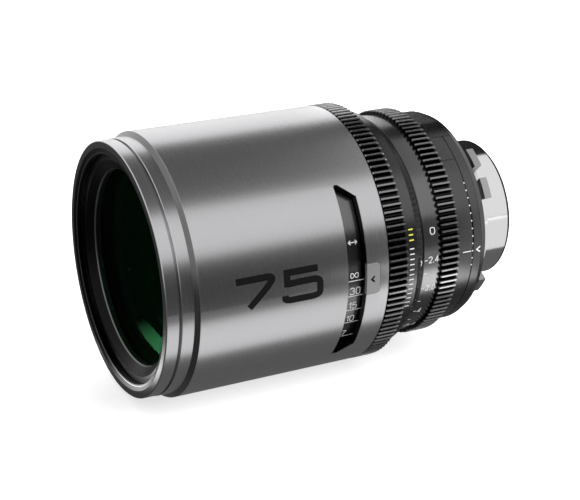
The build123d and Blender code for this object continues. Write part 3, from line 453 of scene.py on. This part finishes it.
distance_radius = 46.2
distance_line_ends = 70.9, 77.9
distance_height = 2.6
infinity_angle = -1.25
degrees_per_dioptre = 228.0
metres_on_ring = ("30", "15", "10", "7", "5", "4", "3", "2.5", "2", "1.5", "1.2", "1", "0.85")
distance_strokes = lettered(
    ["span"], y=71.9, angle=16.5, height=distance_height, radius=distance_radius)
distance_strokes += lettered(
    ["infinity"], y=72.0, angle=infinity_angle + 1, height=distance_height, radius=distance_radius,
    lift=0)
distance_strokes.append(straight(*distance_line_ends, infinity_angle, distance_radius))
for metres in metres_on_ring:
    angle = infinity_angle - degrees_per_dioptre / float(metres)
    distance_strokes += lettered(
        metres, y=72.2, angle=angle + 0.9, height=distance_height, radius=distance_radius, lift=0)
    distance_strokes.append(straight(*distance_line_ends, angle, distance_radius))
marks(
    "distance_marks", cut(distance_strokes, width=0.3), white_enamel,
    "focus_ring", distance_radius)

aperture_radius = 42.7
stop_line_ends = 105.3, 106.6
half_stop_line_ends = 105.3, 106.5
stop_angles = {
    "2.4": -0.4, "2.8": -16.5, "4": -33, "5.6": -49.5, "8": -66, "11": -82.5, "16": -94, "22": -105}
half_stop_angles = (-7.5, -25, -41, -58, -74)
aperture_strokes = lettered(["opening"], y=108.1, angle=14.3, height=2.5, radius=aperture_radius)
for stop, angle in stop_angles.items():
    aperture_strokes.append(straight(*stop_line_ends, angle, aperture_radius))
    aperture_strokes += lettered(
        stop, y=107.2, angle=angle, height=2.3, radius=aperture_radius, spread=0.58)
for angle in half_stop_angles:
    aperture_strokes.append(straight(*half_stop_line_ends, angle, aperture_radius))
marks(
    "aperture_marks", cut(aperture_strokes, width=0.3), white_enamel,
    "iris_ring", aperture_radius)


# Toothed rings for focus and iris motors. They are hobbed in aluminium and dyed black. The outer part of
# each
# tooth is painted lighter grey: a painted highlight for the bright lines that light draws along tips and
# flank edges.
focus_tooth_edge = 48.9 * mm, 49.55 * mm
iris_tooth_edge = 43.7 * mm, 44.35 * mm
above_iris_teeth = 45 * mm, 46 * mm


def hobbed_teeth(wire):
    _, radius, _ = turned_place(wire)
    beads = grain(wire, 0.3 * mm)
    focus_tip = radius.step(*focus_tooth_edge)
    iris_tip = radius.step(*iris_tooth_edge) * (1 - radius.step(*above_iris_teeth))
    # Painted highlight: the outer part of each tooth is blended towards light grey, standing in for the
    # light it catches.
    tip_highlight = (focus_tip + iris_tip) * (0.6 + 0.8 * beads)
    return {
        "Base Color": tip_highlight.blend(grey(0.015), grey(0.27)),
        "Roughness": 0.20 + 0.08 * beads,
        "Normal": bump(wire, beads, 0.02 * mm),
    }


gear_black = finish("gear_black", hobbed_teeth, metallic=1.0)
dress(gear_black, "focus_gear_ring", "iris_gear_ring")


# Marks of the collar, the back-focus ring and the rear ring, in enamel that fills shallow cuts. Rows
# of plain ticks, white and yellow, stand on the collar, and each ring has an arrow or a row of dots
# to set its neighbour by.
def dot_edges(y, angle, radius, size):
    """Upper and lower edge of a round dot."""
    turn = np.radians(np.linspace(8, 172, 9))
    middle = np.array([y, radians(angle) * radius])
    across = -size / 2 * np.cos(turn)
    up = size / 2 * np.sin(turn)
    return middle + np.stack([across, up], axis=1), middle + np.stack([across, -up], axis=1)


collar_radius = 46.0
cone_front, cone_length = 100.9, 4.3
cone_slope = (collar_radius - aperture_radius) / cone_length
rear_radius = 41.7
tick_ends = 97.0, 98.9
white_ticks = [straight(*tick_ends, angle, collar_radius) for angle in np.arange(-21.5, 10, 2.5)]
yellow_ticks = [straight(*tick_ends, angle, collar_radius) for angle in (12.5, 15, 17.5)]
back_focus_line = straight(front=122.8, rear=126.4, angle=-0.5, radius=rear_radius)
dot_angles = np.arange(-8.5, 36, 4)
dots = [dot_edges(y=127.1, angle=angle, radius=rear_radius, size=0.55) for angle in dot_angles]
iris_arrow = lettered(["rearwards"], y=102.4, angle=0, height=2.0, radius=collar_radius)
rear_arrow = lettered(["forwards"], y=128.9, angle=-0.2, height=2.2, radius=rear_radius, spread=1.2)
yellow_enamel = finish("yellow_enamel", enamel((0.80, 0.74, 0.10, 1), (0.65, 0.58, 0.06, 1)))
marks(
    "collar_ticks", cut(white_ticks, width=0.4), white_enamel,
    "lens_body", collar_radius)
marks(
    "collar_yellow_ticks", cut(yellow_ticks, width=0.5), yellow_enamel,
    "lens_body", collar_radius)
marks(
    "iris_arrow", cut(iris_arrow, width=0.5), white_enamel,
    "lens_body", collar_radius, slope=cone_slope, slope_start=cone_front)
marks("back_focus_dots", dots, white_enamel, "back_focus", rear_radius)
marks(
    "back_focus_line", cut([back_focus_line], width=0.4), white_enamel,
    "back_focus", rear_radius)
marks(
    "rear_arrow", cut(rear_arrow, width=0.5), white_enamel,
    "lens_body", rear_radius)


# Front barrel, bezel and front ring. They are turned from one size of aluminium tube, brushed round
# and given a clear satin anodising. The front ring's bore is dyed black, apart from the thin edge
# that the tool left bright where the thread begins.
def satin_anodising(wire):
    tool_marks = turning_marks(wire, 0.12 * mm)
    cloud = grain(wire, 25 * mm)
    return {
        "Base Color": (0.7 * tool_marks + 0.3 * cloud).blend(
            (0.535, 0.535, 0.545, 1), (0.548, 0.548, 0.56, 1)),
        "Roughness": 0.27 + 0.01 * tool_marks,
        "Normal": bump(wire, tool_marks, 0.0002 * mm, strength=0.12),
    }


front_bore_edge = 44.75 * mm, 44.95 * mm
thread_start = 42.9 * mm, 43.0 * mm
thread_end = 43.15 * mm, 43.25 * mm
front_face = -140.95 * mm, -140.85 * mm
barrel_bore_edge = 49.15 * mm, 49.3 * mm
barrel_chamfer_edge = 49.4 * mm, 49.45 * mm
barrel_chamfer_rear = -127.5 * mm, -127.0 * mm


def front_ring_anodising(wire):
    sockets = satin_anodising(wire)
    y, radius, _ = turned_place(wire)
    outside = radius.step(*front_bore_edge)
    bright_edge = radius.step(*thread_start) * (1 - radius.step(*thread_end))
    dyed = bright_edge.blend(grey(0.012), grey(0.3))
    # Painted shade: the forward face is a darker grey, standing in for the dark it shows facing the
    # front.
    shaded_face = 1 - y.step(*front_face)
    sockets["Base Color"] = outside.blend(dyed, shaded_face.blend(sockets["Base Color"], grey(0.16)))
    return sockets


def barrel_anodising(wire):
    sockets = satin_anodising(wire)
    y, radius, _ = turned_place(wire)
    inside = (1 - radius.step(*barrel_bore_edge)) * y.step(*barrel_chamfer_rear)
    # Painted shade: the front chamfer is a darker grey, standing in for the dark it shows where it faces
    # forward.
    shaded_chamfer = (1 - radius.step(*barrel_chamfer_edge)) * (1 - y.step(*barrel_chamfer_rear))
    outside = shaded_chamfer.blend(sockets["Base Color"], grey(0.16))
    sockets["Base Color"] = inside.blend(outside, grey(0.02))
    return sockets


satin_silver = finish("satin_silver", satin_anodising, metallic=1.0)
front_silver = finish("front_ring_silver", front_ring_anodising, metallic=1.0)
barrel_silver = finish("barrel_silver", barrel_anodising, metallic=1.0)
dress(satin_silver, "front_bezel")
dress(barrel_silver, "front_barrel")
dress(front_silver, "front_ring")


# Index plate and the large number. The plate is blasted silver with a black arrow for the distances,
# and sits in a pocket of the barrel. The barrel has one plain number, filled with black enamel.
def blasted_silver(wire):
    beads = grain(wire, 0.25 * mm)
    return {
        "Base Color": beads.blend(grey(0.27), grey(0.37)),
        "Roughness": 0.5 + 0.1 * beads,
        "Normal": bump(wire, beads, 0.02 * mm),
    }


barrel_radius = 49.5
plate_silver = finish("plate_silver", blasted_silver, metallic=0.6)
black_enamel = finish("black_enamel", enamel(grey(0.008), grey(0.004)), specular_ior_level=0.1)
dress(plate_silver, "index_plate")
plate_arrow = lettered(
    ["forwards"], y=78.9, angle=-0.3, height=2.2, radius=barrel_radius, spread=0.9)
large_number = lettered(
    "75", y=25.4, angle=3.6, height=10.2, radius=barrel_radius, spread=1.35, gap=0.36)
marks(
    "distance_arrow", cut(plate_arrow, width=0.7), black_enamel,
    "lens_body", barrel_radius)
marks(
    "barrel_number", cut(large_number, width=2.5), black_enamel,
    "lens_body", barrel_radius)


# Front retaining ring. It is aluminium turned in fine steps against stray light, dyed black and left
# glossy, with a thin bead round the glass.
bead_edge = 36.75 * mm, 36.95 * mm


def glossy_steps(wire):
    _, radius, _ = turned_place(wire)
    tool_marks = turning_marks(wire, 0.3 * mm)
    bead = 1 - radius.step(*bead_edge)
    return {
        "Base Color": bead.blend(grey(0.010), grey(0.14)),
        "Roughness": 0.26 + 0.15 * tool_marks,
        "Normal": bump(wire, tool_marks, 0.01 * mm),
    }


retainer_black = finish("retainer_black", glossy_steps, metallic=1.0)
dress(retainer_black, "front_retainer")


# Camera mount. It is stainless steel, turned and then polished nearly to a mirror, apart from the four
# tabs, which are blasted grey. A black line near its end is painted shade, standing in for a groove.
tab_root = 31.1 * mm, 31.4 * mm
groove_shade_front = 12.0 * mm, 12.1 * mm
groove_shade_rear = 12.7 * mm, 12.75 * mm


def polished_steel(wire):
    y, radius, _ = turned_place(wire)
    tool_marks = turning_marks(wire, 0.2 * mm)
    tabs = radius.step(*tab_root)
    # Painted shade: a dark band in place of the shadow inside a groove.
    line = y.step(*groove_shade_front) * (1 - y.step(*groove_shade_rear))
    polished = tool_marks.blend(grey(0.68), grey(0.74))
    return {
        "Base Color": line.blend(tabs.blend(polished, grey(0.4)), grey(0.03)),
        "Roughness": 0.10 + 0.06 * tool_marks + 0.2 * tabs,
        "Normal": bump(wire, tool_marks, 0.002 * mm),
    }


mount_steel = finish("mount_steel", polished_steel, metallic=1.0)
dress(mount_steel, "lens_mount")


# Studio. A pale floor touches the lens underneath, under a white sky that the metal also mirrors.
# Dark and bright cards that only mirrors see stand round the lens and lie on the floor. They make
# the bands in its metal and the green streak in its glass.
def sheet(name, points, across, along, material):
    """A sheet of quads: points(u, v) gives its places in metres, for u and v from 0 to 1 as whole
    arrays."""
    u, v = np.meshgrid(np.linspace(0, 1, across + 1), np.linspace(0, 1, along + 1), indexing="ij")
    places = np.stack(points(u, v), axis=-1).reshape(-1, 3)
    corner = (np.arange(across)[:, None] * (along + 1) + np.arange(along)).ravel()
    faces = np.stack([corner, corner + along + 1, corner + along + 2, corner + 1], axis=-1)
    return new_piece(name, places, faces, material)


def backdrop(name, colour, shown):
    """A matt colour that the camera alone sees a little brightened."""
    def shader(wire):
        seen = wire.node("ShaderNodeLightPath", {}, {}, "Is Camera Ray")
        matt = wire.node("ShaderNodeBsdfDiffuse", {}, {"Color": colour})
        glow = wire.node("ShaderNodeEmission", {}, {"Color": colour, "Strength": seen * shown})
        return wire.node("ShaderNodeAddShader", {}, {0: matt, 1: glow})
    return new_material(name, shader)


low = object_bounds()[0]
floor_z = low[2]
floor_reach = 6.0
pale = backdrop("pale_floor", grey(0.82), shown=0.78)
floor = sheet(
    "floor", lambda u, v: ((u - 0.5) * floor_reach, (v - 0.5) * floor_reach, 0 * u + floor_z),
    across=2, along=2, material=pale)


def card(name, brightness, points, fade=None):
    """A glowing panel that only mirrors see, so that it neither hides nor shades the lens. It is even,
    or fades as the wires of fade(wire) say."""
    def shader(wire):
        strength = brightness * fade(wire) if fade else brightness
        return wire.node("ShaderNodeEmission", {}, {"Color": grey(1.0), "Strength": strength})
    panel = sheet(name, points, across=24, along=1, material=new_material(name, shader))
    panel.visible_camera = False
    panel.visible_diffuse = False
    panel.visible_shadow = False


def arc_card(name, brightness, turn, front, rear, away=0.5):
    """A card bent round the optical axis, between two angles in degrees."""
    start, end = turn

    def points(u, v):
        angle = np.radians(start + (end - start) * u)
        return away * np.cos(angle), front + (rear - front) * v, away * np.sin(angle)
    card(name, brightness, points)


def floor_card(name, brightness, sides, front, rear, height=mm, fade=None):
    """A flat card over the floor, between two places across the axis. Its rear edge may be slanted, so
    it has two ends."""
    left, right = sides
    rear_left, rear_right = rear

    def points(u, v):
        edge = rear_left + (rear_right - rear_left) * u
        return left + (right - left) * u, front + (edge - front) * v, 0 * u + floor_z + height
    card(name, brightness, points, fade)


def both_ends(wire):
    """Full in the middle of the streak that the front glass shows, and nothing at its ends."""
    place = wire.node("ShaderNodeTexCoord", {}, {}, "Object")
    x = wire.node("ShaderNodeSeparateXYZ", {}, {0: place}, "X")
    streak_left, streak_middle, streak_right = -0.05, -0.012, 0.006
    return x.step(streak_left, streak_middle) * (1 - x.step(streak_middle, streak_right))


far_front, far_rear, far_side = -0.4, 0.6, 0.5
rings_front, rings_rear = 0.205, 0.233
low_rings_front, low_rings_rear = -0.014, 0.018
slanted, level = (0.035, 0.27), (far_rear, far_rear)
arc_card("side_card", 0.05, turn=(-10, 20.5), front=far_front, rear=0.078, away=0.2)
arc_card("top_card", 0.13, turn=(62, 132), front=far_front, rear=rings_rear)
arc_card("mount_card", 0.02, turn=(113, 200), front=rings_rear, rear=far_rear)
arc_card("back_reflector", 1.3, turn=(134, 176), front=far_front, rear=rings_front)
arc_card("rings_back_reflector", 3.2, turn=(134, 176), front=rings_front, rear=rings_rear)
floor_card("side_floor_card", 0.05, sides=(0.113, far_side), front=far_front, rear=slanted)
floor_card("under_card", 0.14, sides=(-0.05, 0.057), front=far_front, rear=level)
floor_card(
    "barrel_low_reflector", 1.05, sides=(0.057, 0.113), front=far_front,
    rear=(low_rings_front, low_rings_front))
floor_card(
    "rings_low_reflector", 3.8, sides=(0.06, 0.1), front=low_rings_front,
    rear=(low_rings_rear, low_rings_rear))
floor_card(
    "mount_floor_card", 0.95, sides=(0.046, far_side), front=0.02, rear=level, height=1.5 * mm)
floor_card("rim_floor_card", 0.02, sides=(-far_side, -0.05), front=0.03, rear=level)
floor_card(
    "front_floor_card", 0.1, sides=(-0.4, 0.25), front=-0.7, rear=(front_y, front_y),
    height=1.5 * mm)
floor_card(
    "glass_reflector", 7.0, sides=(-0.05, 0.006), front=-0.161, rear=(-0.149, -0.149),
    height=2 * mm, fade=both_ends)


def softbox(name, place, size, watts, aim):
    """A soft lamp at a place, turned towards another."""
    lamp = bpy.data.lights.new(name, "AREA")
    lamp.shape = "RECTANGLE"
    lamp.size, lamp.size_y = size
    lamp.energy = watts
    holder = bpy.data.objects.new(name, lamp)
    holder.location = place
    holder.rotation_euler = (Vector(place) - Vector(aim)).to_track_quat("Z", "Y").to_euler()
    holder.visible_glossy = False
    bpy.context.scene.collection.objects.link(holder)


lens_middle = (0, -0.0698, -0.00458)
softbox("side_softbox", place=(0.85, 0.55, 0.85), size=(0.9, 1.2), watts=18, aim=lens_middle)
softbox("back_softbox", place=(-0.9, 0.3, 0.8), size=(0.9, 1.2), watts=12, aim=lens_middle)

world = bpy.data.worlds.new("studio_air")
bpy.context.scene.world = world
world.use_nodes = True
world.node_tree.nodes.clear()
air = Wire(world.node_tree)
ray_kinds = ("Is Camera Ray", "Is Glossy Ray", "Is Transmission Ray")
camera_ray, glossy_ray, glass_ray = (air.node("ShaderNodeLightPath", {}, {}, kind) for kind in ray_kinds)
seen = air.maths("MAXIMUM", camera_ray, air.maths("MAXIMUM", glossy_ray, glass_ray))
ambient = 0.45
sky = air.node("ShaderNodeBackground", {}, {
    "Color": grey(1.0), "Strength": ambient + seen * (1 - ambient)})
air.node("ShaderNodeOutputWorld", {}, {"Surface": sky})
bpy.context.scene.view_settings.view_transform = "Standard"


# Camera. It stands where the photograph was taken from, with its sides level, and looks at the middle
# of the lens. The circles of the rings gave its focal length, in pixels of the photograph.
camera_back = Vector((0.8305, -0.4248, 0.3604))
camera_distance = 0.5861
photo_width_px = 580
focal_length_px = 1523.66
sensor_width_mm = 36
camera_data = bpy.data.cameras.new("camera")
camera_data.sensor_width = sensor_width_mm
camera_data.lens = focal_length_px / photo_width_px * sensor_width_mm
camera = bpy.data.objects.new("camera", camera_data)
camera.location = Vector(lens_middle) + camera_back.normalized() * camera_distance
camera.rotation_euler = camera_back.to_track_quat("Z", "Y").to_euler()
bpy.context.scene.collection.objects.link(camera)
bpy.context.scene.camera = camera
